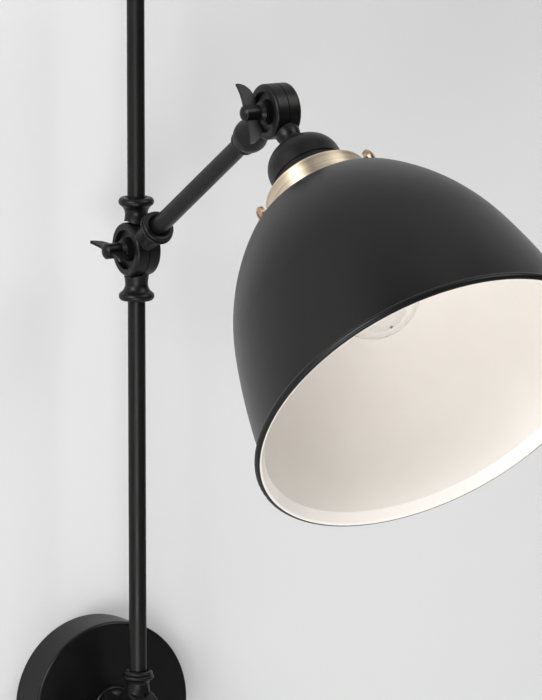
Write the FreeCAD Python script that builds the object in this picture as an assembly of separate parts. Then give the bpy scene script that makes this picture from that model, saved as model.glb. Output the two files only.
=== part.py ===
"""Articulating wall lamp: round wall plate, tilting rod, swing arm and dome shade on three clamped knuckles.

Millimetres. The origin is the middle of the wall plate's back face. +Z is up, +X runs to the right along
the wall and -Y points out into the room. Every knuckle turns about an axis parallel to X.
"""
import FreeCAD, Part
import math
import os

V = FreeCAD.Vector

# Clearances
FIT = 0.05              # round shaft in the hole that carries it, radial
FACE_GAP = 0.05         # flat faces that slide on each other
SEAT_GAP = 0.3          # pieces that stand beside each other without touching

# Wall plate and the bar behind it
PLATE_R = 63.1
PLATE_DEPTH = 31.0
PLATE_WALL = 1.2
PLATE_EDGE_R = 2.2
BAR_WIDTH = 18.0
BAR_THICK = 1.6
BAR_BEND_R = 2.0
EAR_LENGTH = 21.0
BOX_SCREW_SPACING = 88.9
BOX_SLOT_LENGTH = 12.0
BOX_SLOT_WIDTH = 4.6
SIDE_SCREW_R = 2.0
SIDE_SCREW_HEAD_R = 3.8
SIDE_SCREW_HEAD = 2.4
SIDE_SCREW_DEPTH = 14.0
GROUND_SCREW_X = 20.0
GROUND_SCREW_R = 2.0
GROUND_SCREW_HEAD_R = 4.2
GROUND_SCREW_HEAD = 2.6

# Where the knuckles are
ROD_OUT = 68.1          # rod centre to the wall
ROD_KNUCKLE_GAP = 342.6  # lower knuckle to middle knuckle
ROD_TOP = 545.0         # upper end of the upper rod
ARM_LENGTH = 227.8      # middle knuckle to upper knuckle
ARM_TILT = 57.56        # arm from straight up, turning out into the room
ARM_SIDE = 0.2          # arm centre line, toward the wing nuts
SHADE_TILT = 130.37     # shade axis from straight up

# Tubes
ROD_R = 6.35
ARM_R = 6.55
TUBE_WALL = 1.0
SOCKET_DEPTH = 10.0     # how far a tube enters its collar

# Knuckle castings
DISC_R = 19.3
DISC_OUTER = 9.8        # outer face from the middle plane
DISC_INNER = 0.3        # inner face from the middle plane
DISC_EDGE_R = 2.2
RECESS_R = 14.2
RECESS_LIP = 0.9
RECESS_DEPTH = 3.4
BOSS_R = 8.8
BOSS_DROP = 0.6
NECK_R = 8.2
NECK_ROOT_R = 9.4
NECK_START = 9.0
NECK_CLEAR = 1.3        # gap between a neck and the other half's rim
WAIST = 25.0

# Collars: distance from the knuckle centre to the mouth, and the bead round it
ROD_COLLAR_MOUTH = 37.4
ROD_COLLAR_R = 12.8
FOOT_COLLAR_MOUTH = 34.6
FOOT_COLLAR_R = 11.6
ARM_COLLAR_MOUTH = 39.5
ARM_COLLAR_R = 12.6
BELL_MOUTH = 52.0
BELL_R = 12.2
BEAD_HEIGHT = 6.2
DISH_DEPTH = 1.4
LIP_WALL = 2.2
FACE_LIP = 1.0          # small foot at the end of the head's stem

# Pivot bolt, washers and wing nut
BOLT_R = 3.0
BOLT_SQUARE = 6.4
BOLT_SQUARE_LENGTH = 3.0
BOLT_HEAD_R = 7.4
BOLT_HEAD = 2.8
FRICTION_WASHER_R = 15.0
NUT_WASHER_R = 8.4
NUT_WASHER = 1.2
NUT_R = 5.6
NUT_FLANGE_R = 7.4
NUT_LENGTH = 17.0
NUT_THREAD = 11.0       # depth of the threaded hole
WING_R = 21.8
WING_LOW = 3.8
WING_HIGH = 14.8
WING_THICK = 2.2
LOWER_WING_ANGLE = -12.4
MIDDLE_WING_ANGLE = -79.6
UPPER_WING_ANGLE = -27.3

# Threaded tubes and their lock nuts
NIPPLE_R = 5.0
NIPPLE_BORE_R = 3.4
NIPPLE_GRIP = 10.0      # length inside a casting
LOCK_NUT_FLATS = 14.0
LOCK_NUT = 4.0
FLANGE_R = 16.0
FLANGE = 3.4

# Head, measured along the shade axis from the upper knuckle
STEM_BALL = 20.5
STEM_BALL_R = 8.8
STEM_END = 33.4
STEM_WAIST_R = 7.3
CUP_R = 26.3
CUP_SHOULDER_R = 18.0
CUP_END = 58.4
CUP_WALL = 1.2
HOLDER_TOP_R = 20.5
HOLDER_R = 17.5
HOLDER_END = 96.0
SHELL_WALL = 0.5
SHELL_LENGTH = 22.0
CONTACT_R = 4.0
CONTACT_THICK = 0.8

# Gallery ring, its nut and thumb screws
GALLERY_R = 37.3
GALLERY_WALL = 1.0
GALLERY_EDGE_R = 2.0    # outside of the rounded edge between cove and skirt
GALLERY_NUT_R = 22.5
GALLERY_NUT = 5.0
SCREW_DEPTH = 84.0
SCREW_FIRST = 68.0      # angle of the first thumb screw round the shade axis, from +X
SCREW_R = 2.0
SCREW_HEAD_R = 4.8
SCREW_HEAD = 4.0
SCREW_STANDOFF = 9.2    # bare shank between the ring and the head
SLOT_WIDTH = 1.2
SLOT_DEPTH = 1.2

# Shade
RIM_DEPTH = 263.9       # middle of the rolled rim, from the upper knuckle
SHADE_WALL = 1.0
MOUTH_R = 120.0         # outside of the wall just above the rolled rim
MOUTH_LEAN = 5.5        # lean of the wall there, from the shade axis
DOME_ARCS = ((490.0, 10.2), (177.0, 27.5), (42.5, 41.8))  # radius and sweep, from the mouth up
ROLL_R = 2.6
ROLL_OUT = 5.3          # rolled rim's centre, out from the wall
ROLL_BLEND = 4.0        # height of the wall's start above the rolled rim's centre
FITTER_R = 33.5         # neck of the shade inside the gallery ring
FITTER_LIP_R = 35.6
FITTER_HEIGHT = 15.0

# Bulb
BULB_R = 33.5
BULB_TIP = 198.0
BULB_NECK_R = 14.0
BULB_BASE_R = 13.1
BULB_BASE_WALL = 1.2
BULB_CONE = 5.0         # height of the insulating cone at the base's end
BULB_TIP_CONTACT_R = 4.8
GLASS_WALL = 0.7
GLASS_START = 98.0
STEM_GLASS_R = 4.0
FILAMENT_R = 0.5
FILAMENT_SPAN = 15.0
SUPPORT_R = 0.6
SUPPORT_HEIGHT = 18.0   # filament above the end of the glass stem

# Finial on the upper rod
FINIAL_R = 10.2
FINIAL_KNOB_R = 7.6
FINIAL_SLEEVE = 10.0


# ---- Outlines and solids of revolution ----

def arc(centre_r, centre_z, radius, start, end):
    """Two outline points that draw an arc; angles in degrees from +r toward +z."""
    def at(angle):
        turn = math.radians(angle)
        return (round(centre_r + radius * math.cos(turn), 9), round(centre_z + radius * math.sin(turn), 9))
    return [at(start), at(end) + at((start + end) / 2)]


def cap(edge_r, low, height):
    """Two outline points that draw a round cap from its edge up to the axis."""
    dome_r = (edge_r ** 2 + height ** 2) / (2 * height)
    sweep = math.degrees(math.asin(edge_r / dome_r))
    return arc(0, low + height - dome_r, dome_r, 90 - sweep, 90)


def outline(points):
    """Closed wire in the XZ plane. A point is (r, z), or (r, z, through_r, through_z) to end an arc."""
    edges = []
    previous = points[-1]
    for point in points:
        start = V(previous[0], 0, previous[1])
        end = V(point[0], 0, point[1])
        if len(point) == 4:
            edges.append(Part.Arc(start, V(point[2], 0, point[3]), end).toShape())
        elif start.distanceToPoint(end) > 1e-6:
            edges.append(Part.makeLine(start, end))
        previous = point
    return Part.Wire(edges)


def turned(points):
    """Solid of revolution about Z."""
    solid = Part.Face(outline(points)).revolve(V(0, 0, 0), V(0, 0, 1), 360)
    if solid.Volume < 0:
        solid.reverse()
    return solid


def tube(radius, wall, low, high):
    return turned([(radius - wall, low), (radius, low), (radius, high), (radius - wall, high)])


def rod(radius, low, high):
    return Part.makeCylinder(radius, high - low, V(0, 0, low))


def hexagon(flats, low, high, bore):
    """Hexagonal nut about Z with bevelled corners."""
    corner = flats / math.sqrt(3)
    bevel = (corner - flats / 2) / 2
    points = [V(corner * math.cos(math.radians(60 * k)), corner * math.sin(math.radians(60 * k)), low)
              for k in range(7)]
    nut = Part.Face(Part.makePolygon(points)).extrude(V(0, 0, high - low))
    blank = turned([(0, low), (flats / 2, low), (corner, low + bevel), (corner, high - bevel),
                    (flats / 2, high), (0, high)])
    return nut.common(blank).cut(rod(bore, low - 1, high + 1))


def aimed(shape, tilt, centre):
    """Stand +Z at this tilt from straight up, turning out into the room, then move to the centre."""
    placed = shape.copy()
    placed.rotate(V(0, 0, 0), V(1, 0, 0), tilt)
    placed.translate(centre)
    return placed


def along_x(shape, side):
    """Turn a shape built about +Z to point along +X or -X."""
    placed = shape.copy()
    placed.rotate(V(0, 0, 0), V(0, 1, 0), 90 * side)
    return placed


# ---- Wall plate ----

def wall_plate():
    inner = PLATE_R - PLATE_WALL
    shoulder = PLATE_DEPTH - PLATE_EDGE_R
    hole = NIPPLE_R + FIT
    shell = turned([(inner, 0), (PLATE_R, 0)]
                   + arc(PLATE_R - PLATE_EDGE_R, shoulder, PLATE_EDGE_R, 0, 90)
                   + [(hole, PLATE_DEPTH), (hole, PLATE_DEPTH - PLATE_WALL)]
                   + arc(PLATE_R - PLATE_EDGE_R, shoulder, PLATE_EDGE_R - PLATE_WALL, 90, 0))
    for side in (-1, 1):
        screw_hole = along_x(rod(SIDE_SCREW_R + FIT, ear_face(), PLATE_R + 1), side)
        screw_hole.translate(V(0, 0, SIDE_SCREW_DEPTH))
        shell = shell.cut(screw_hole)
    return aimed(shell, 90, V(0, 0, 0))


def ear_face():
    """Outer face of a bar ear, whose corners just clear the round plate's inside."""
    inner = PLATE_R - PLATE_WALL
    return math.sqrt(inner ** 2 - (BAR_WIDTH / 2) ** 2) - SEAT_GAP


def crossbar():
    """Bar across the wall box with an ear bent out at each end."""
    out = ear_face()
    bend = BAR_BEND_R + BAR_THICK
    right = (arc(out - bend, bend, bend, -90, 0)
             + [(out, EAR_LENGTH), (out - BAR_THICK, EAR_LENGTH)]
             + arc(out - bend, bend, BAR_BEND_R, 0, -90))
    left = (arc(bend - out, bend, BAR_BEND_R, 270, 180)
            + [(BAR_THICK - out, EAR_LENGTH), (-out, EAR_LENGTH)]
            + arc(bend - out, bend, bend, 180, 270))
    bar = Part.Face(outline(right + left)).extrude(V(0, BAR_WIDTH, 0))
    bar.translate(V(0, -BAR_WIDTH / 2, 0))
    for side in (-1, 1):
        bar = bar.cut(box_slot(side * BOX_SCREW_SPACING / 2))
        ear_hole = along_x(rod(SIDE_SCREW_R + FIT, out - bend, out + 1), side)
        ear_hole.translate(V(0, 0, SIDE_SCREW_DEPTH))
        bar = bar.cut(ear_hole)
    ground_hole = rod(GROUND_SCREW_R + FIT, -1, BAR_THICK + 1)
    ground_hole.translate(V(GROUND_SCREW_X, 0, 0))
    return aimed(bar.cut(ground_hole), 90, V(0, 0, 0))


def box_slot(middle):
    """Cutter for a slot along the bar with round ends."""
    end_r = BOX_SLOT_WIDTH / 2
    half = BOX_SLOT_LENGTH / 2 - end_r
    slot = Part.makeBox(2 * half, BOX_SLOT_WIDTH, BAR_THICK + 2, V(middle - half, -end_r, -1))
    for end in (-half, half):
        round_end = rod(end_r, -1, BAR_THICK + 1)
        round_end.translate(V(middle + end, 0, 0))
        slot = slot.fuse(round_end)
    return slot


def screw(shank_r, head_r, head, length):
    """Round-headed screw about Z: its head's seat is at 0 and the shank runs down."""
    edge = head * 0.6
    return turned([(0, -length), (shank_r, -length), (shank_r, 0), (head_r, 0)]
                  + cap(head_r, edge, head - edge))


def canopy_screws():
    """Two screws through the plate's side into the bar's ears."""
    reach = PLATE_R - ear_face() + 2 * BAR_THICK
    pair = []
    for side in (-1, 1):
        fixing = screw(SIDE_SCREW_R, SIDE_SCREW_HEAD_R, SIDE_SCREW_HEAD, reach)
        fixing.translate(V(0, 0, PLATE_R + FIT))
        fixing = along_x(fixing, side)
        fixing.translate(V(0, 0, SIDE_SCREW_DEPTH))
        pair.append(aimed(fixing, 90, V(0, 0, 0)))
    return Part.makeCompound(pair)


def ground_screw():
    fixing = screw(GROUND_SCREW_R, GROUND_SCREW_HEAD_R, GROUND_SCREW_HEAD, BAR_THICK - FIT)
    fixing.translate(V(GROUND_SCREW_X, 0, BAR_THICK))
    return aimed(fixing, 90, V(0, 0, 0))


def plate_nipple():
    """Threaded tube from the lock nut through the plate into the base knuckle's foot."""
    low = PLATE_DEPTH - PLATE_WALL - LOCK_NUT - FLANGE
    high = PLATE_DEPTH + NIPPLE_GRIP - FIT
    return aimed(tube(NIPPLE_R, NIPPLE_R - NIPPLE_BORE_R, low, high), 90, V(0, 0, 0))


def plate_lock_nut():
    top = PLATE_DEPTH - PLATE_WALL
    return aimed(hexagon(LOCK_NUT_FLATS, top - LOCK_NUT, top, NIPPLE_R + FIT), 90, V(0, 0, 0))


# ---- Knuckle castings ----

def disc_cutters(side):
    """Ring recess, boss face and bolt hole in the outer face of one half."""
    floor = DISC_OUTER - RECESS_DEPTH
    ring = turned([(BOSS_R, floor), (RECESS_R - RECESS_LIP, floor), (RECESS_R, DISC_OUTER),
                   (RECESS_R, DISC_OUTER + 1), (BOSS_R, DISC_OUTER + 1)])
    boss_face = rod(BOSS_R + FIT, DISC_OUTER - BOSS_DROP, DISC_OUTER + 1)
    hole = rod(BOLT_R + FIT, 0, DISC_OUTER + 1)
    cutters = ring.fuse([boss_face, hole])
    if side > 0:
        half = BOLT_SQUARE / 2 + FIT
        depth = BOLT_SQUARE_LENGTH + BOSS_DROP + 1
        square = Part.makeBox(2 * half, 2 * half, depth, V(-half, -half, DISC_OUTER + 1 - depth))
        cutters = cutters.fuse(square)
    return along_x(cutters, side)


def knuckle_half(side, necks):
    """One clamped half of a knuckle round the origin. The wing nut is on side -1, the bolt head on +1.
    Each neck is (solid about +Z, tilt)."""
    disc = turned([(0, DISC_INNER), (DISC_R, DISC_INNER)]
                  + arc(DISC_R - DISC_EDGE_R, DISC_OUTER - DISC_EDGE_R, DISC_EDGE_R, 0, 90)
                  + [(0, DISC_OUTER)])
    room = DISC_R + NECK_CLEAR
    other_half = turned([(0, -2 * DISC_R), (room, -2 * DISC_R), (room, DISC_INNER), (0, DISC_INNER)])
    casting = along_x(disc, side)
    for neck, tilt in necks:
        casting = casting.fuse(aimed(neck, tilt, V(0, 0, 0)).cut(along_x(other_half, side)))
    return casting.cut(disc_cutters(side)).removeSplitter()


def socket(tube_r, mouth, depth):
    """Outline points of a dished mouth with a socket for a tube, from the rim inward to the floor."""
    bore = tube_r + FIT
    floor = mouth - depth
    return [(bore + LIP_WALL, mouth), (bore, mouth - DISH_DEPTH), (bore, floor), (0, floor)]


def collar(tube_r, mouth, bead_r):
    """Turned collar: narrow waist, flare, one round bead and a dished mouth for the tube."""
    bead = BEAD_HEIGHT / 2
    flare_end = mouth - BEAD_HEIGHT
    flare_r = bead_r - bead * 0.55
    waist = WAIST * 0.5 + flare_end * 0.5 - 3
    return turned([(0, NECK_START), (NECK_ROOT_R, NECK_START), (NECK_ROOT_R, DISC_R - 2),
                   (NECK_R, waist, NECK_R + 0.25, (DISC_R + waist) / 2),
                   (flare_r, flare_end, NECK_R + (flare_r - NECK_R) * 0.32, waist + (flare_end - waist) * 0.62),
                   (flare_r, mouth - 0.4, bead_r, mouth - bead)]
                  + socket(tube_r, mouth, SOCKET_DEPTH + DISH_DEPTH))


def double_bead_collar(tube_r, mouth, bead_r):
    """Turned collar whose rim carries two thin beads with a groove between them."""
    bead = BEAD_HEIGHT / 2
    low = mouth - BEAD_HEIGHT
    groove_r = bead_r - bead * 0.5
    upper_r = bead_r - bead * 0.3
    waist = (DISC_R + low) / 2
    return turned([(0, NECK_START), (NECK_ROOT_R, NECK_START), (NECK_ROOT_R, DISC_R - 2),
                   (NECK_R, waist, NECK_R + 0.25, (DISC_R + waist) / 2),
                   (groove_r, low, NECK_R + (groove_r - NECK_R) * 0.3, (waist + low) / 2 + 0.8),
                   (groove_r, low + bead, bead_r, low + bead / 2),
                   (groove_r - 0.6, mouth - 0.3, upper_r, mouth - bead / 2)]
                  + socket(tube_r, mouth, SOCKET_DEPTH + DISH_DEPTH))


def bell(tube_r, mouth, bell_r):
    """Round bell at the arm's end: waist near the disc, full belly, small lip round the tube."""
    lip_r = tube_r + FIT + LIP_WALL
    belly = mouth - 14
    return turned([(0, NECK_START), (NECK_ROOT_R, NECK_START), (NECK_ROOT_R, DISC_R - 2),
                   (NECK_R, WAIST - 1, NECK_R + 0.2, DISC_R + 2),
                   (bell_r, belly, NECK_R + (bell_r - NECK_R) * 0.62, (WAIST + belly) / 2 + 0.2),
                   (lip_r, mouth - 3, bell_r - 0.9, belly + 6),
                   (lip_r, mouth, lip_r + 0.7, mouth - 1.5)]
                  + socket(tube_r, mouth, SOCKET_DEPTH + 6)[1:])


def base_foot():
    """Neck of the base knuckle with a round flange that lies on the plate's face."""
    face = ROD_OUT - PLATE_DEPTH
    flange = face - FLANGE
    waist = (DISC_R + flange) / 2
    bore = NIPPLE_R + FIT
    return turned([(0, NECK_START), (NECK_ROOT_R, NECK_START), (NECK_ROOT_R, DISC_R - 2),
                   (NECK_R, waist, NECK_R + 0.25, (DISC_R + waist) / 2),
                   (FLANGE_R - FLANGE / 2, flange, NECK_R + 2.2, (waist + flange) / 2 + 1.8),
                   (FLANGE_R, face - FLANGE / 2, FLANGE_R - 0.5, flange + 0.5),
                   (FLANGE_R, face), (bore, face), (bore, face - NIPPLE_GRIP), (0, face - NIPPLE_GRIP)])


def head_stem():
    """Round ball under the upper knuckle that narrows to a foot on the socket cup."""
    foot = STEM_END - FACE_LIP
    bore = NIPPLE_R + FIT
    bore_end = stem_nipple_start() - FIT
    foot_r = STEM_WAIST_R + FACE_LIP
    ball_half = STEM_BALL_R * 0.7
    return turned([(0, NECK_START), (STEM_WAIST_R, NECK_START), (STEM_WAIST_R, STEM_BALL - ball_half),
                   (STEM_WAIST_R, STEM_BALL + ball_half, STEM_BALL_R, STEM_BALL),
                   (STEM_WAIST_R, foot - FACE_LIP / 2), (foot_r, foot), (foot_r, STEM_END),
                   (bore, STEM_END), (bore, bore_end), (0, bore_end)])


def stem_nipple_start():
    """The threaded tube stops short of the knuckle's round halves."""
    return DISC_R + NECK_CLEAR + 0.5


# ---- Pivot hardware, built about the knuckle centre ----

def boss_face():
    return DISC_OUTER - BOSS_DROP


def pivot_bolt():
    """Round-headed bolt with a square neck, head on +X, thread end inside the wing nut."""
    seat = boss_face()
    end = seat + FACE_GAP + NUT_WASHER + NUT_THREAD - 1
    body = turned([(0, -end), (BOLT_R, -end), (BOLT_R, seat)] + cap(BOLT_HEAD_R, seat, BOLT_HEAD))
    half = BOLT_SQUARE / 2
    square = Part.makeBox(BOLT_SQUARE, BOLT_SQUARE, BOLT_SQUARE_LENGTH,
                          V(-half, -half, seat - BOLT_SQUARE_LENGTH))
    return along_x(body.fuse(square), 1)


def friction_washer():
    half = DISC_INNER - FACE_GAP
    return along_x(tube(FRICTION_WASHER_R, FRICTION_WASHER_R - BOLT_R - FIT, -half, half), 1)


def nut_washer():
    low = boss_face() + FACE_GAP
    return along_x(tube(NUT_WASHER_R, NUT_WASHER_R - BOLT_R - FIT, low, low + NUT_WASHER), -1)


def wing_nut():
    """Wing nut on -X with two leaf wings that stand along +Z and -Z."""
    base = boss_face() + FACE_GAP + NUT_WASHER + FACE_GAP
    bore = BOLT_R + FIT
    dome = NUT_R * 0.45
    hub = turned([(bore, 0), (NUT_FLANGE_R, 0), (NUT_FLANGE_R, 0.9), (NUT_R, 3.6)]
                 + cap(NUT_R, NUT_LENGTH - dome, dome) + [(0, NUT_THREAD), (bore, NUT_THREAD)])
    hub.rotate(V(0, 0, 0), V(0, 0, 1), 90)
    inside = bore + 0.6
    tip = (WING_R, WING_HIGH + 0.4)
    leaf = outline([(inside, WING_LOW), (WING_R * 0.48, WING_LOW),
                    tip + (WING_R * 0.86, (WING_LOW + WING_HIGH) / 2 - 1.6),
                    (inside, WING_HIGH - 1.0, WING_R * 0.62, WING_HIGH - 1.2)])
    wing = Part.Face(leaf).extrude(V(0, WING_THICK, 0))
    wing.translate(V(0, -WING_THICK / 2, 0))
    other = wing.copy()
    other.rotate(V(0, 0, 0), V(0, 0, 1), 180)
    nut = hub.fuse([wing, other]).removeSplitter()
    nut.translate(V(0, 0, base))
    return along_x(nut, -1)


# ---- Rods, arm and finial ----

def lower_rod():
    low = FOOT_COLLAR_MOUTH - DISH_DEPTH - SOCKET_DEPTH
    high = ROD_KNUCKLE_GAP - ROD_COLLAR_MOUTH + DISH_DEPTH + SOCKET_DEPTH
    return tube(ROD_R, TUBE_WALL, low, high)


def upper_rod():
    return tube(ROD_R, TUBE_WALL, ROD_KNUCKLE_GAP + ROD_COLLAR_MOUTH - DISH_DEPTH - SOCKET_DEPTH, ROD_TOP)


def rod_finial():
    """Turned end piece: capped sleeve with a bead over the rod's end, cove and a round knob."""
    bore = ROD_R + FIT
    sleeve_r = bore + LIP_WALL
    low = ROD_TOP - FINIAL_SLEEVE
    cap = ROD_TOP + LIP_WALL
    bead_half = (FINIAL_R - sleeve_r) * 1.5
    bead = low + FINIAL_SLEEVE / 2
    meet = 45
    neck_r = FINIAL_KNOB_R * math.cos(math.radians(meet))
    cove = sleeve_r - neck_r
    knob = cap + cove + FINIAL_KNOB_R * math.sin(math.radians(meet))
    return turned([(0, ROD_TOP), (bore, ROD_TOP), (bore, low), (sleeve_r, low),
                   (sleeve_r, bead - bead_half), (sleeve_r, bead + bead_half, FINIAL_R, bead)]
                  + arc(sleeve_r, cap + cove, cove, 270, 180)
                  + arc(0, knob, FINIAL_KNOB_R, -meet, 90)[1:])


def arm_tube():
    low = ARM_COLLAR_MOUTH - DISH_DEPTH - SOCKET_DEPTH
    high = ARM_LENGTH - BELL_MOUTH + SOCKET_DEPTH + 6
    return tube(ARM_R, TUBE_WALL, low, high)


# ---- Head: every outline runs along the shade axis from the upper knuckle ----

def head_nipple():
    high = holder_start() + NIPPLE_GRIP / 2
    return tube(NIPPLE_R, NIPPLE_R - NIPPLE_BORE_R, stem_nipple_start(), high)


def cup_lock_nut():
    low = STEM_END + CUP_WALL
    return hexagon(LOCK_NUT_FLATS, low, low + LOCK_NUT, NIPPLE_R + FIT)


def socket_cup():
    """Round-shouldered cup, open toward the shade."""
    centre_r = CUP_R - CUP_SHOULDER_R
    centre_z = STEM_END + CUP_SHOULDER_R
    hole = NIPPLE_R + FIT
    return turned([(hole, STEM_END)]
                  + arc(centre_r, centre_z, CUP_SHOULDER_R, 270, 360)
                  + [(CUP_R, CUP_END), (CUP_R - CUP_WALL, CUP_END)]
                  + arc(centre_r, centre_z, CUP_SHOULDER_R - CUP_WALL, 360, 270)
                  + [(hole, STEM_END + CUP_WALL)])


def holder_start():
    """Closed end of the lampholder, just past the cup's lock nut."""
    return STEM_END + CUP_WALL + LOCK_NUT + SEAT_GAP


def holder_step():
    """Where the lampholder narrows: its shoulder lies on the gallery's flange."""
    return CUP_END


def lampholder_body():
    """Insulating body: closed end on the nipple, shoulder, long sleeve round the screw shell."""
    bore = NIPPLE_R + FIT
    cavity = shell_outer() + FIT
    floor = shell_start()
    return turned([(bore, holder_start()), (HOLDER_TOP_R - 2, holder_start())]
                  + arc(HOLDER_TOP_R - 2, holder_start() + 2, 2, 270, 360)
                  + [(HOLDER_TOP_R, holder_step()), (HOLDER_R, holder_step()), (HOLDER_R, HOLDER_END),
                     (cavity, HOLDER_END), (cavity, floor), (0, floor),
                     (0, holder_start() + NIPPLE_GRIP), (bore, holder_start() + NIPPLE_GRIP)])


def shell_outer():
    return BULB_BASE_R + 0.3 + SHELL_WALL


def shell_start():
    return HOLDER_END - SHELL_LENGTH - 2


def lampholder_shell():
    """Threaded metal sleeve that takes the bulb's base, shown without its thread."""
    low = shell_start()
    return tube(shell_outer(), SHELL_WALL, low, HOLDER_END - 1)


def lampholder_contact():
    low = shell_start()
    return rod(CONTACT_R, low, low + CONTACT_THICK)


def bulb_base_start():
    return shell_start() + CONTACT_THICK + FIT


def bulb_base():
    """Hollow screw base with its end contact, shown without its thread."""
    low = bulb_base_start()
    skirt = low + BULB_CONE
    inner = BULB_BASE_R - BULB_BASE_WALL
    return turned([(0, low), (BULB_TIP_CONTACT_R, low), (BULB_TIP_CONTACT_R, low + BULB_BASE_WALL),
                   (BULB_BASE_R, skirt), (BULB_BASE_R, GLASS_START), (0, GLASS_START),
                   (0, GLASS_START - BULB_BASE_WALL), (inner, GLASS_START - BULB_BASE_WALL),
                   (inner, skirt + BULB_BASE_WALL), (0, skirt + BULB_BASE_WALL)])


def bulb_glass():
    """Clear globe: neck, long shoulder and round end, blown 0.7 mm thick."""
    centre = BULB_TIP - BULB_R
    shoulder = centre - BULB_R * 0.62
    start_angle = -math.degrees(math.asin(0.62))
    shoulder_r = BULB_R * math.cos(math.radians(start_angle))
    neck_z = GLASS_START + 14
    wall = GLASS_WALL
    neck_in = BULB_NECK_R - wall
    start_in = -math.degrees(math.asin(0.62 * BULB_R / (BULB_R - wall)))
    bulge_r = (BULB_NECK_R + shoulder_r) / 2 - 1.6
    bulge_z = (neck_z + shoulder) / 2 + 0.4
    outside = ([(neck_in, GLASS_START), (BULB_NECK_R, GLASS_START), (BULB_NECK_R, neck_z),
                (shoulder_r, shoulder, bulge_r, bulge_z)]
               + arc(0, centre, BULB_R, start_angle, 90)[1:])
    inside = ([(0, BULB_TIP - wall)] + arc(0, centre, BULB_R - wall, 90, start_in)[1:]
              + [(neck_in, neck_z, bulge_r - wall, bulge_z)])
    return turned(outside + inside)


def bulb_stem():
    """Glass stem inside the bulb with a flare at its foot; the supports stand in its end."""
    top = stem_top()
    stem = turned([(0, GLASS_START), (BULB_NECK_R - GLASS_WALL - SEAT_GAP, GLASS_START),
                   (STEM_GLASS_R, GLASS_START + 12, STEM_GLASS_R + 1.5, GLASS_START + 5),
                   (STEM_GLASS_R, top), (0, top + 2)])
    return stem.cut(support(-1)).cut(support(1))


def filament_height():
    return BULB_TIP - BULB_R


def stem_top():
    return filament_height() - SUPPORT_HEIGHT


def support(side):
    """Wire that leans out from the glass stem to one end of the filament."""
    foot = V(side * STEM_GLASS_R * 0.6, 0, stem_top() - 3)
    tip = V(side * FILAMENT_SPAN / 2, 0, filament_height())
    return Part.makeCylinder(SUPPORT_R, (tip - foot).Length, foot, tip - foot)


def bulb_filament():
    """Bow of filament between two supports that rise from the glass stem."""
    height = filament_height()
    half = FILAMENT_SPAN / 2
    rise = half * 0.5
    bow = Part.Arc(V(-half, 0, height), V(0, 0, height + rise), V(half, 0, height))
    lean = bow.tangent(bow.FirstParameter)[0]
    section = Part.Wire([Part.makeCircle(FILAMENT_R, V(-half, 0, height), lean)])
    wire = Part.Wire([bow.toShape()]).makePipeShell([section], True, False)
    return wire.fuse([support(-1), support(1)])


def gallery_skirt():
    """End of the gallery ring, just above the dome."""
    return dome_end()[1] - SEAT_GAP


def gallery_ring():
    """Spun ring: flat flange round the lampholder, cove, rounded edge, straight skirt round the shade's neck."""
    flange = CUP_END
    flange_r = CUP_R - CUP_WALL / 2
    bottom = gallery_skirt()
    inner = GALLERY_R - GALLERY_WALL
    edge_r = GALLERY_R - GALLERY_EDGE_R
    cove = edge_r - flange_r
    cove_z = flange + GALLERY_WALL + SEAT_GAP
    edge_z = cove_z + cove + GALLERY_EDGE_R
    ring = turned([(HOLDER_R + FIT, flange), (flange_r, flange)]
                  + arc(edge_r, cove_z, cove, 180, 90)
                  + arc(edge_r, edge_z, GALLERY_EDGE_R, -90, 0)[1:]
                  + [(GALLERY_R, bottom), (inner, bottom)]
                  + arc(edge_r, edge_z, GALLERY_EDGE_R - GALLERY_WALL, 0, -90)
                  + arc(edge_r, cove_z, cove + GALLERY_WALL, 90, 180)[1:]
                  + [(flange_r - GALLERY_WALL, flange + GALLERY_WALL), (HOLDER_R + FIT, flange + GALLERY_WALL)])
    hole = rod(SCREW_R + FIT, inner - 2, GALLERY_R + 2)
    for k in range(3):
        ring = ring.cut(screw_place(hole, k))
    return ring


def gallery_nut():
    """Threaded ring that clamps the gallery against the lampholder's shoulder."""
    low = CUP_END + GALLERY_WALL
    return turned([(HOLDER_R + FIT, low), (GALLERY_NUT_R, low), (GALLERY_NUT_R, low + GALLERY_NUT - 1),
                   (GALLERY_NUT_R - 1, low + GALLERY_NUT), (HOLDER_R + FIT, low + GALLERY_NUT)])


def screw_place(shape, k):
    """Put a shape built about +Z on thumb screw k's radial line."""
    placed = along_x(shape, 1)
    placed.translate(V(0, 0, SCREW_DEPTH))
    placed.rotate(V(0, 0, 0), V(0, 0, 1), screw_angle(k))
    return placed


def screw_angle(k):
    return SCREW_FIRST + 120 * k


def gallery_screw(k):
    """Domed slotted screw whose tip stops at the shade's neck."""
    seat = GALLERY_R + SCREW_STANDOFF
    fixing = screw(SCREW_R, SCREW_HEAD_R, SCREW_HEAD, seat - FITTER_R - FIT)
    fixing.translate(V(0, 0, seat))
    slot = Part.makeBox(3 * SCREW_HEAD_R, SLOT_WIDTH, SCREW_HEAD,
                        V(-1.5 * SCREW_HEAD_R, -SLOT_WIDTH / 2, seat + SCREW_HEAD - SLOT_DEPTH))
    return screw_place(fixing.cut(slot), k)


# ---- Shade ----

def dome_arcs():
    """The dome's arcs from the mouth up, as (centre_r, centre_z, radius, lean, next lean)."""
    r = MOUTH_R
    z = RIM_DEPTH - ROLL_BLEND
    lean = MOUTH_LEAN
    arcs = []
    for radius, sweep in DOME_ARCS:
        turn = math.radians(lean)
        centre_r = r - radius * math.cos(turn)
        centre_z = z + radius * math.sin(turn)
        arcs.append((centre_r, centre_z, radius, lean, lean + sweep))
        lean += sweep
        r = centre_r + radius * math.cos(math.radians(lean))
        z = centre_z - radius * math.sin(math.radians(lean))
    return arcs


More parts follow.
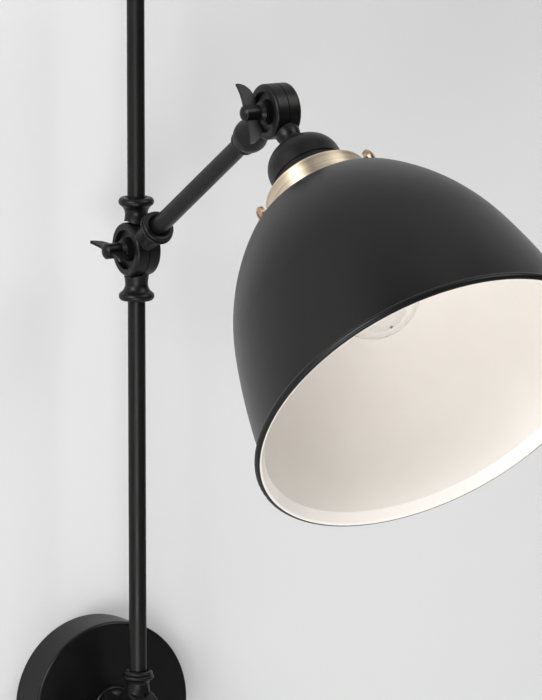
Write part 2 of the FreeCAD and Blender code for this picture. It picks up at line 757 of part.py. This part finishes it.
def dome_end():
    """Outside of the dome where it turns up into the fitter neck: radius and depth."""
    centre_r, centre_z, radius, _, lean = dome_arcs()[-1]
    turn = math.radians(lean)
    return centre_r + radius * math.cos(turn), centre_z - radius * math.sin(turn)


def shade():
    """Spun dome with a fitter neck at the top and a rolled rim at the mouth."""
    outside = []
    inside = []
    for centre_r, centre_z, radius, lean, next_lean in dome_arcs():
        outside += arc(centre_r, centre_z, radius, -lean, -next_lean)
        inside = arc(centre_r, centre_z, radius - SHADE_WALL, -next_lean, -lean) + inside
    neck_z = dome_end()[1] + 0.6
    top = neck_z - FITTER_HEIGHT
    neck_in = FITTER_R - SHADE_WALL
    neck = [(FITTER_R, neck_z), (FITTER_R, top + 1.6), (FITTER_LIP_R, top + 1.2), (FITTER_LIP_R, top),
            (neck_in, top), (neck_in, neck_z + SHADE_WALL)]
    roll_r = MOUTH_R + ROLL_OUT
    start = outside[0]
    roll_low = arc(roll_r, RIM_DEPTH, ROLL_R, 150, -20)
    roll_high = arc(roll_r, RIM_DEPTH, ROLL_R, -20, -150)
    return turned(outside + neck + inside + roll_low + roll_high[1:]
                  + [(start[0] + 0.2, start[1] + 0.6)])


# ---- All pieces ----

def knuckle_centres():
    tilt = math.radians(ARM_TILT)
    lower = V(0, -ROD_OUT, 0)
    middle = V(0, -ROD_OUT, ROD_KNUCKLE_GAP)
    upper = middle + V(0, -math.sin(tilt), math.cos(tilt)) * ARM_LENGTH
    return lower, middle, upper


def shifted(neck):
    """The arm stands a little toward the wing nuts."""
    placed = neck.copy()
    placed.translate(V(-ARM_SIDE, 0, 0))
    return placed


def pivot_parts(name, centre, bolt_tilt, wing_tilt):
    """The four loose pieces that clamp a knuckle."""
    return {
        name + "_pivot_bolt": aimed(pivot_bolt(), bolt_tilt, centre),
        name + "_friction_washer": aimed(friction_washer(), 0, centre),
        name + "_nut_washer": aimed(nut_washer(), 0, centre),
        name + "_wing_nut": aimed(wing_nut(), wing_tilt, centre),
    }


def lamp():
    lower, middle, upper = knuckle_centres()
    wall = V(0, -ROD_OUT, 0)
    rod_collar = collar(ROD_R, ROD_COLLAR_MOUTH, ROD_COLLAR_R)
    foot_collar = double_bead_collar(ROD_R, FOOT_COLLAR_MOUTH, FOOT_COLLAR_R)
    arm_collar = shifted(double_bead_collar(ARM_R, ARM_COLLAR_MOUTH, ARM_COLLAR_R))
    arm_bell = shifted(bell(ARM_R, BELL_MOUTH, BELL_R))
    pieces = {
        "wall_plate": wall_plate(),
        "crossbar": crossbar(),
        "canopy_screws": canopy_screws(),
        "ground_screw": ground_screw(),
        "plate_nipple": plate_nipple(),
        "plate_lock_nut": plate_lock_nut(),
        "lower_knuckle_base_half": aimed(knuckle_half(1, [(base_foot(), -90)]), 0, lower),
        "lower_knuckle_rod_half": aimed(knuckle_half(-1, [(foot_collar, 0)]), 0, lower),
        "lower_rod": aimed(lower_rod(), 0, wall),
        "upper_rod": aimed(upper_rod(), 0, wall),
        "rod_finial": aimed(rod_finial(), 0, wall),
        "middle_knuckle_rod_half": aimed(knuckle_half(1, [(rod_collar, 0), (rod_collar, 180)]), 0, middle),
        "middle_knuckle_arm_half": aimed(knuckle_half(-1, [(arm_collar, ARM_TILT)]), 0, middle),
        "arm_tube": aimed(shifted(arm_tube()), ARM_TILT, middle),
        "upper_knuckle_arm_half": aimed(knuckle_half(-1, [(arm_bell, ARM_TILT + 180)]), 0, upper),
        "upper_knuckle_head_half": aimed(knuckle_half(1, [(head_stem(), SHADE_TILT)]), 0, upper),
    }
    pieces.update(pivot_parts("lower", lower, 0, LOWER_WING_ANGLE))
    pieces.update(pivot_parts("middle", middle, 0, MIDDLE_WING_ANGLE))
    pieces.update(pivot_parts("upper", upper, 0, UPPER_WING_ANGLE))
    head = {
        "head_nipple": head_nipple(),
        "cup_lock_nut": cup_lock_nut(),
        "socket_cup": socket_cup(),
        "lampholder_body": lampholder_body(),
        "lampholder_shell": lampholder_shell(),
        "lampholder_contact": lampholder_contact(),
        "bulb_base": bulb_base(),
        "bulb_glass": bulb_glass(),
        "bulb_stem": bulb_stem(),
        "bulb_filament": bulb_filament(),
        "gallery_ring": gallery_ring(),
        "gallery_nut": gallery_nut(),
        "gallery_screw_1": gallery_screw(0),
        "gallery_screw_2": gallery_screw(1),
        "gallery_screw_3": gallery_screw(2),
        "shade": shade(),
    }
    for name, shape in head.items():
        pieces[name] = aimed(shape, SHADE_TILT, upper)
    return pieces


def main():
    os.makedirs("parts", exist_ok=True)
    for name, shape in lamp().items():
        if not shape.isValid():
            print("not valid:", name)
        shape.exportStep("parts/" + name + ".step")
        box = shape.BoundBox
        print(f"{name:26s} solids {len(shape.Solids)}  volume {shape.Volume:10.1f}  "
              f"x {box.XMin:7.1f} {box.XMax:7.1f}  y {box.YMin:7.1f} {box.YMax:7.1f}  "
              f"z {box.ZMin:7.1f} {box.ZMax:7.1f}")


main()
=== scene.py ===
"""Studio scene for the articulating wall lamp: materials, wall, light and camera."""
import bpy
import math
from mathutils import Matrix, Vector

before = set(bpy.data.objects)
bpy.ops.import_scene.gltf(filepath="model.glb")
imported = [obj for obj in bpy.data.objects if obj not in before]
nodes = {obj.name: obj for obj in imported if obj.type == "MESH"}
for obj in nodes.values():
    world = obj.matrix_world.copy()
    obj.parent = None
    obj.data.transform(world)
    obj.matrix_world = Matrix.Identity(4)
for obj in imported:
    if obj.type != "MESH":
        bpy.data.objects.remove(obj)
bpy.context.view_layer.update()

MM = 0.001

# Camera, fitted to the photograph: its place in millimetres, the way it looks, and its lens
CAMERA_AT = (-2391.255, -4226.217, 1116.448)
CAMERA_LOOKS = (0.50791866, 0.84365007, -0.17399193)
LENS = 350.0
SENSOR = 36
NEAREST_SEEN = 0.1
FARTHEST_SEEN = 60

# Axis of the head: the upper knuckle's centre in millimetres and the shade's tilt from straight up
HEAD_TILT = math.radians(130.37)
HEAD_CENTRE = (0.0, -260.353, 464.796)
HEAD_AXIS = (0.0, -math.sin(HEAD_TILT), math.cos(HEAD_TILT))

# Where the shade's white enamel ends, in millimetres: radius at the rim, and depth along the axis
# at the neck
ENAMEL_R = 126.0
ENAMEL_DEPTH = 89.2

# Depth in millimetres where the gallery ring's black cove ends and its brass edge begins
COVE_END = 69.3

# Linear colours; a pair is the two ends that a surface varies between
SATIN_BLACK = (0.0034, 0.0032, 0.0031)
PLATE_BLACK = (0.0028, 0.0027, 0.0027)
SHADE_BLACK = (0.0042, 0.0040, 0.0040), (0.0058, 0.0056, 0.0056)
ENAMEL = (0.885, 0.84, 0.79), (0.915, 0.87, 0.82)
ANTIQUE_BRASS = (0.58, 0.50, 0.385), (0.84, 0.72, 0.56)
STREAK = (0.72, 0.70, 0.68), (1.0, 1.0, 1.0)
TARNISH = (0.70, 0.66, 0.63), (1.0, 1.0, 1.0)
PLAIN_BRASS = (0.70, 0.55, 0.30)
COPPER_BRASS = (0.50, 0.34, 0.24)
ZINC_STEEL = (0.62, 0.62, 0.63)
BULB_CAP = (0.78, 0.78, 0.79)
FILAMENT = (0.45, 0.43, 0.42)
INSULATOR = (0.05, 0.05, 0.052)
WALL_PAINT = (0.60, 0.60, 0.60)
BACKGROUND = (0.72, 0.72, 0.72)   # seen where the camera looks past the wall

# Stage, in metres
BOX_OPENING_R = 0.0612            # round opening of the wall box, behind the plate
WALL_BEHIND = 0.0004              # from the lamp's back to the wall's face
STAGE_REACH = 4.0
FLOOR_REACH = 7.0
FLOOR_LEVEL = -0.9

# Strength of the room's soft light, and how much less of it shiny surfaces mirror
AMBIENT = 0.33
MIRRORED_LESS = 0.28

# Lamps that all point at one place: name, place, size in metres and power in watts
LIT_PLACE = (0.0, -0.25, 0.35)
LAMPS = (("key", (-2.9, -1.3, 1.8), (1.8, 1.8), 112),
         ("fill", (1.9, -2.4, 2.9), (2.0, 2.0), 66),
         ("bounce", (-1.5, -2.1, -0.6), (1.6, 1.2), 44),
         ("top", (0.2, -0.9, 2.9), (2.2, 1.6), 9))


# ---- Node helpers ----

class Build:
    """Adds shader nodes to one material with little code."""

    def __init__(self, name):
        self.material = bpy.data.materials.new(name)
        self.material.use_nodes = True
        self.tree = self.material.node_tree
        self.tree.nodes.clear()
        coords = self.add("ShaderNodeTexCoord")
        self.point = coords.outputs["Object"]
        self.normal = coords.outputs["Normal"]

    def add(self, kind, **settings):
        node = self.tree.nodes.new(kind)
        for key, value in settings.items():
            setattr(node, key, value)
        return node

    def link(self, source, target):
        self.tree.links.new(source, target)

    def stretched(self, source, scale):
        node = self.add("ShaderNodeMapping", vector_type="POINT")
        node.inputs["Scale"].default_value = scale
        self.link(source, node.inputs["Vector"])
        return node.outputs[0]

    def noise(self, vector, scale, detail, roughness=0.55):
        node = self.add("ShaderNodeTexNoise")
        node.inputs["Scale"].default_value = scale
        node.inputs["Detail"].default_value = detail
        node.inputs["Roughness"].default_value = roughness
        self.link(vector, node.inputs["Vector"])
        return node.outputs["Fac"]

    def ramp(self, source, low=0, high=1):
        """Spread the middle third of a noise over a range of values."""
        node = self.add("ShaderNodeMapRange")
        node.inputs["From Min"].default_value = 0.35
        node.inputs["From Max"].default_value = 0.65
        node.inputs["To Min"].default_value = low
        node.inputs["To Max"].default_value = high
        self.link(source, node.inputs["Value"])
        return node.outputs[0]

    def colours(self, source, first, second):
        """A colour that a noise moves between two ends."""
        node = self.add("ShaderNodeMix", data_type="RGBA")
        node.inputs["A"].default_value = (*first, 1)
        node.inputs["B"].default_value = (*second, 1)
        self.link(self.ramp(source), node.inputs["Factor"])
        return node.outputs["Result"]

    def multiplied(self, first, second, amount):
        node = self.add("ShaderNodeMix", data_type="RGBA", blend_type="MULTIPLY")
        node.inputs["Factor"].default_value = amount
        self.link(first, node.inputs["A"])
        self.link(second, node.inputs["B"])
        return node.outputs["Result"]

    def math(self, operation, first, second=None):
        node = self.add("ShaderNodeMath", operation=operation)
        for socket, value in zip(node.inputs, (first, second)):
            if isinstance(value, (int, float)):
                socket.default_value = value
            elif value is not None:
                self.link(value, socket)
        return node.outputs[0]

    def bump(self, height, distance, strength):
        node = self.add("ShaderNodeBump")
        node.inputs["Distance"].default_value = distance
        node.inputs["Strength"].default_value = strength
        self.link(height, node.inputs["Height"])
        return node.outputs[0]

    def surface(self, **sockets):
        """A Principled shader; a tuple or number sets a socket, an output is linked to it."""
        shader = self.add("ShaderNodeBsdfPrincipled")
        for key, value in sockets.items():
            socket = shader.inputs[key.replace("_", " ")]
            if isinstance(value, bpy.types.NodeSocket):
                self.link(value, socket)
            elif isinstance(value, tuple):
                socket.default_value = (*value, 1)
            else:
                socket.default_value = value
        return shader

    def mixed(self, factor, first, second):
        """The first shader where the factor is 0, the second where it is 1."""
        node = self.add("ShaderNodeMixShader")
        self.link(factor, node.inputs["Fac"])
        self.link(first.outputs[0], node.inputs[1])
        self.link(second.outputs[0], node.inputs[2])
        return node

    def finish(self, shader):
        output = self.add("ShaderNodeOutputMaterial")
        self.link(shader.outputs[0], output.inputs["Surface"])
        return self.material

    def turned_to_head(self, source, kind):
        """A vector turned so that its Z runs along the shade axis."""
        node = self.add("ShaderNodeMapping", vector_type=kind)
        node.inputs["Rotation"].default_value = (-HEAD_TILT, 0, 0)
        self.link(source, node.inputs["Vector"])
        return node.outputs[0]

    def head_point(self):
        """Object coordinates from the upper knuckle, with Z along the shade axis."""
        centred = self.add("ShaderNodeMapping", vector_type="POINT")
        centred.inputs["Location"].default_value = [-v * MM for v in HEAD_CENTRE]
        self.link(self.point, centred.inputs["Vector"])
        return self.turned_to_head(centred.outputs[0], "POINT")

    def split(self, vector):
        node = self.add("ShaderNodeSeparateXYZ")
        self.link(vector, node.inputs[0])
        return node.outputs


# ---- Materials ----

def black_paint(m, colour=SATIN_BLACK, roughness=0.38, peel=1400):
    """Shader of baked black paint: fine orange peel and faint patches of gloss."""
    fine = m.noise(m.point, scale=peel, detail=2.0)
    patch = m.noise(m.point, scale=28, detail=4.0)
    paint = m.colours(patch, colour, tuple(1.35 * c for c in colour))
    return m.surface(Base_Color=paint, Roughness=m.ramp(patch, roughness - 0.05, roughness + 0.05),
                     Normal=m.bump(fine, distance=0.00004, strength=0.35), Specular_IOR_Level=0.2)


def satin_black(name, **look):
    m = Build(name)
    return m.finish(black_paint(m, **look))


def gallery_brass(name):
    """Dull brass, brushed round the shade axis, on the ring's edge and skirt; its cove is black."""
    m = Build(name)
    point = m.head_point()
    depth = m.split(point)[2]
    fine = m.noise(m.stretched(point, (8, 8, 2400)), scale=1.0, detail=3.0, roughness=0.7)
    broad = m.noise(m.stretched(point, (14, 14, 520)), scale=1.0, detail=2.0)
    patch = m.noise(m.stretched(point, (26, 26, 120)), scale=1.0, detail=3.0)
    streaked = m.multiplied(m.colours(fine, *ANTIQUE_BRASS), m.colours(broad, *STREAK), amount=0.7)
    tarnished = m.multiplied(streaked, m.colours(patch, *TARNISH), amount=0.5)
    along = m.add("ShaderNodeVectorTransform", vector_type="VECTOR",
                  convert_from="OBJECT", convert_to="WORLD")
    along.inputs[0].default_value = HEAD_AXIS
    brass = m.surface(Base_Color=tarnished, Metallic=1.0, Roughness=m.ramp(fine, 0.34, 0.48),
                      Normal=m.bump(fine, distance=0.00002, strength=0.5),
                      Anisotropic=0.75, Tangent=along.outputs[0])
    on_brass = m.math("GREATER_THAN", depth, COVE_END * MM)
    return m.finish(m.mixed(on_brass, black_paint(m), brass))


def metal(name, colour, roughness):
    """Plated or turned metal with faint marks."""
    m = Build(name)
    marks = m.noise(m.point, scale=700, detail=3.0)
    patch = m.noise(m.point, scale=160, detail=3.0)
    tone = m.colours(patch, tuple(0.72 * c for c in colour), colour)
    shader = m.surface(Base_Color=tone, Metallic=1.0,
                       Roughness=m.ramp(patch, roughness - 0.07, roughness + 0.09),
                       Normal=m.bump(marks, distance=0.00002, strength=0.4))
    return m.finish(shader)


def moulded(name, colour, roughness):
    """Moulded insulator with a fine grain."""
    m = Build(name)
    grain = m.noise(m.point, scale=1800, detail=2.0)
    tone = m.colours(grain, colour, tuple(1.2 * c for c in colour))
    shader = m.surface(Base_Color=tone, Roughness=m.ramp(grain, roughness - 0.04, roughness + 0.04),
                       Normal=m.bump(grain, distance=0.00003, strength=0.4))
    return m.finish(shader)


def clear_glass(name):
    """Clear blown glass with a slight waviness; light passes it without a dark shadow."""
    m = Build(name)
    wave = m.noise(m.point, scale=60, detail=2.0)
    shader = m.surface(Base_Color=(1.0, 1.0, 1.0), Roughness=0.0,
                       Normal=m.bump(wave, distance=0.0003, strength=0.2),
                       Transmission_Weight=1.0, IOR=1.5)
    rays = m.add("ShaderNodeLightPath")
    clear = m.add("ShaderNodeBsdfTransparent")
    return m.finish(m.mixed(rays.outputs["Is Shadow Ray"], shader, clear))


def enamel_mask(m):
    """1 on the shade's inner faces, from the neck to the start of the rolled rim."""
    x, y, depth = m.split(m.head_point())
    radius = m.math("SQRT", m.math("ADD", m.math("MULTIPLY", x, x), m.math("MULTIPLY", y, y)))
    outward = m.add("ShaderNodeCombineXYZ")
    m.link(x, outward.inputs[0])
    m.link(y, outward.inputs[1])
    facing = m.add("ShaderNodeVectorMath", operation="DOT_PRODUCT")
    m.link(m.turned_to_head(m.normal, "VECTOR"), facing.inputs[0])
    m.link(outward.outputs[0], facing.inputs[1])
    inward = m.math("LESS_THAN", facing.outputs["Value"], 0.0)
    above_rim = m.math("LESS_THAN", radius, ENAMEL_R * MM)
    below_neck = m.math("GREATER_THAN", depth, ENAMEL_DEPTH * MM)
    return m.math("MULTIPLY", m.math("MULTIPLY", inward, above_rim), below_neck)


def shade_paint(name):
    """Matt black outside and on the rolled edge, glossy white enamel inside."""
    m = Build(name)
    fine = m.noise(m.point, scale=1300, detail=2.0)
    patch = m.noise(m.point, scale=14, detail=4.0)
    black = m.surface(Base_Color=m.colours(patch, *SHADE_BLACK), Roughness=m.ramp(patch, 0.32, 0.37),
                      Normal=m.bump(fine, distance=0.00005, strength=0.4), Specular_IOR_Level=0.2)
    white = m.surface(Base_Color=m.colours(patch, *ENAMEL), Roughness=m.ramp(patch, 0.16, 0.24),
                      Normal=m.bump(patch, distance=0.0004, strength=0.05))
    return m.finish(m.mixed(enamel_mask(m), black, white))


def dress(material, *names):
    for name in names:
        mesh = nodes[name].data
        mesh.materials.clear()
        mesh.materials.append(material)


dress(satin_black("satin_black"),
      "canopy_screws", "lower_knuckle_base_half", "lower_pivot_bolt", "lower_nut_washer",
      "lower_knuckle_rod_half", "lower_rod", "upper_rod", "rod_finial", "middle_knuckle_rod_half",
      "middle_pivot_bolt", "middle_nut_washer", "middle_knuckle_arm_half", "arm_tube",
      "upper_knuckle_arm_half", "upper_knuckle_head_half", "upper_pivot_bolt", "upper_nut_washer",
      "socket_cup", "lower_wing_nut", "middle_wing_nut", "upper_wing_nut")
dress(satin_black("plate_black", colour=PLATE_BLACK, roughness=0.34, peel=1100), "wall_plate")
dress(metal("zinc_steel", ZINC_STEEL, 0.36),
      "crossbar", "plate_nipple", "plate_lock_nut", "head_nipple", "cup_lock_nut",
      "lower_friction_washer", "middle_friction_washer", "upper_friction_washer")
dress(metal("plain_brass", PLAIN_BRASS, 0.34),
      "ground_screw", "lampholder_shell", "lampholder_contact")
dress(gallery_brass("antique_brass"), "gallery_ring")
dress(metal("copper_brass", COPPER_BRASS, 0.32),
      "gallery_screw_1", "gallery_screw_2", "gallery_screw_3")
dress(moulded("insulator", INSULATOR, 0.5), "lampholder_body", "gallery_nut")
dress(metal("bulb_cap", BULB_CAP, 0.28), "bulb_base")
dress(clear_glass("clear_glass"), "bulb_glass", "bulb_stem")
dress(metal("filament_wire", FILAMENT, 0.4), "bulb_filament")
dress(shade_paint("shade_enamel"), "shade")


# ---- Wall and floor ----

def stage_paint(name):
    """Plain paint on the room side; from behind it is clear, so that the lamp's back can be seen."""
    m = Build(name)
    tone = m.noise(m.point, scale=3, detail=2.0)
    paint = m.surface(Base_Color=m.colours(tone, WALL_PAINT, tuple(1.01 * c for c in WALL_PAINT)),
                      Roughness=0.9)
    side = m.add("ShaderNodeNewGeometry")
    clear = m.add("ShaderNodeBsdfTransparent")
    return m.finish(m.mixed(side.outputs["Backfacing"], paint, clear))


def flat_piece(name, points, faces):
    mesh = bpy.data.meshes.new(name)
    mesh.from_pydata(points, [], faces)
    return bpy.data.objects.new(name, mesh)


def wall():
    """Square wall face with the wall box's round opening behind the plate."""
    steps = 96
    points = []
    faces = []
    for k in range(steps):
        turn = 2 * math.pi * k / steps
        x, z = math.cos(turn), math.sin(turn)
        edge = STAGE_REACH / max(abs(x), abs(z))
        points += [(BOX_OPENING_R * x, WALL_BEHIND, BOX_OPENING_R * z),
                   (edge * x, WALL_BEHIND, edge * z)]
        here, after = 2 * k, 2 * ((k + 1) % steps)
        faces.append((here, here + 1, after + 1, after))
    return flat_piece("wall", points, faces)


def floor():
    left, right, front, back = -STAGE_REACH, STAGE_REACH, -FLOOR_REACH, 0
    corners = (left, front), (right, front), (right, back), (left, back)
    return flat_piece("floor", [(x, y, FLOOR_LEVEL) for x, y in corners], [(0, 1, 2, 3)])


for surface in (wall(), floor()):
    surface.data.materials.append(stage_paint(surface.name + "_paint"))
    bpy.context.collection.objects.link(surface)


# ---- Light and camera ----

def placed(name, data, at, looks):
    """Put a lamp or camera in the scene, facing along a direction."""
    thing = bpy.data.objects.new(name, data)
    thing.location = at
    thing.rotation_mode = "QUATERNION"
    thing.rotation_quaternion = Vector(looks).to_track_quat("-Z", "Y")
    bpy.context.collection.objects.link(thing)
    return thing


def area_lamp(name, at, size, power):
    lamp = bpy.data.lights.new(name, "AREA")
    lamp.shape = "RECTANGLE"
    lamp.size, lamp.size_y = size
    lamp.energy = power
    placed(name, lamp, at, Vector(LIT_PLACE) - Vector(at))


def studio_world():
    """Soft ambient light; the camera sees the background's own colour."""
    world = bpy.data.worlds.new("studio")
    world.use_nodes = True
    tree = world.node_tree
    tree.nodes.clear()
    ambient = tree.nodes.new("ShaderNodeBackground")
    ambient.inputs["Color"].default_value = (1.0, 1.0, 1.0, 1)
    seen = tree.nodes.new("ShaderNodeBackground")
    seen.inputs["Color"].default_value = (*BACKGROUND, 1)
    rays = tree.nodes.new("ShaderNodeLightPath")
    strength = tree.nodes.new("ShaderNodeMath")
    strength.operation = "MULTIPLY_ADD"
    strength.inputs[1].default_value = -MIRRORED_LESS
    strength.inputs[2].default_value = AMBIENT
    tree.links.new(rays.outputs["Is Glossy Ray"], strength.inputs[0])
    tree.links.new(strength.outputs[0], ambient.inputs["Strength"])
    mix = tree.nodes.new("ShaderNodeMixShader")
    output = tree.nodes.new("ShaderNodeOutputWorld")
    tree.links.new(rays.outputs["Is Camera Ray"], mix.inputs["Fac"])
    tree.links.new(ambient.outputs[0], mix.inputs[1])
    tree.links.new(seen.outputs[0], mix.inputs[2])
    tree.links.new(mix.outputs[0], output.inputs["Surface"])
    return world


def photo_camera():
    camera = bpy.data.cameras.new("camera")
    camera.lens = LENS
    camera.sensor_width = SENSOR
    camera.clip_start = NEAREST_SEEN
    camera.clip_end = FARTHEST_SEEN
    return placed("camera", camera, [v * MM for v in CAMERA_AT], CAMERA_LOOKS)


for lamp in LAMPS:
    area_lamp(*lamp)
scene = bpy.context.scene
scene.world = studio_world()
scene.camera = photo_camera()
scene.view_settings.view_transform = "Standard"
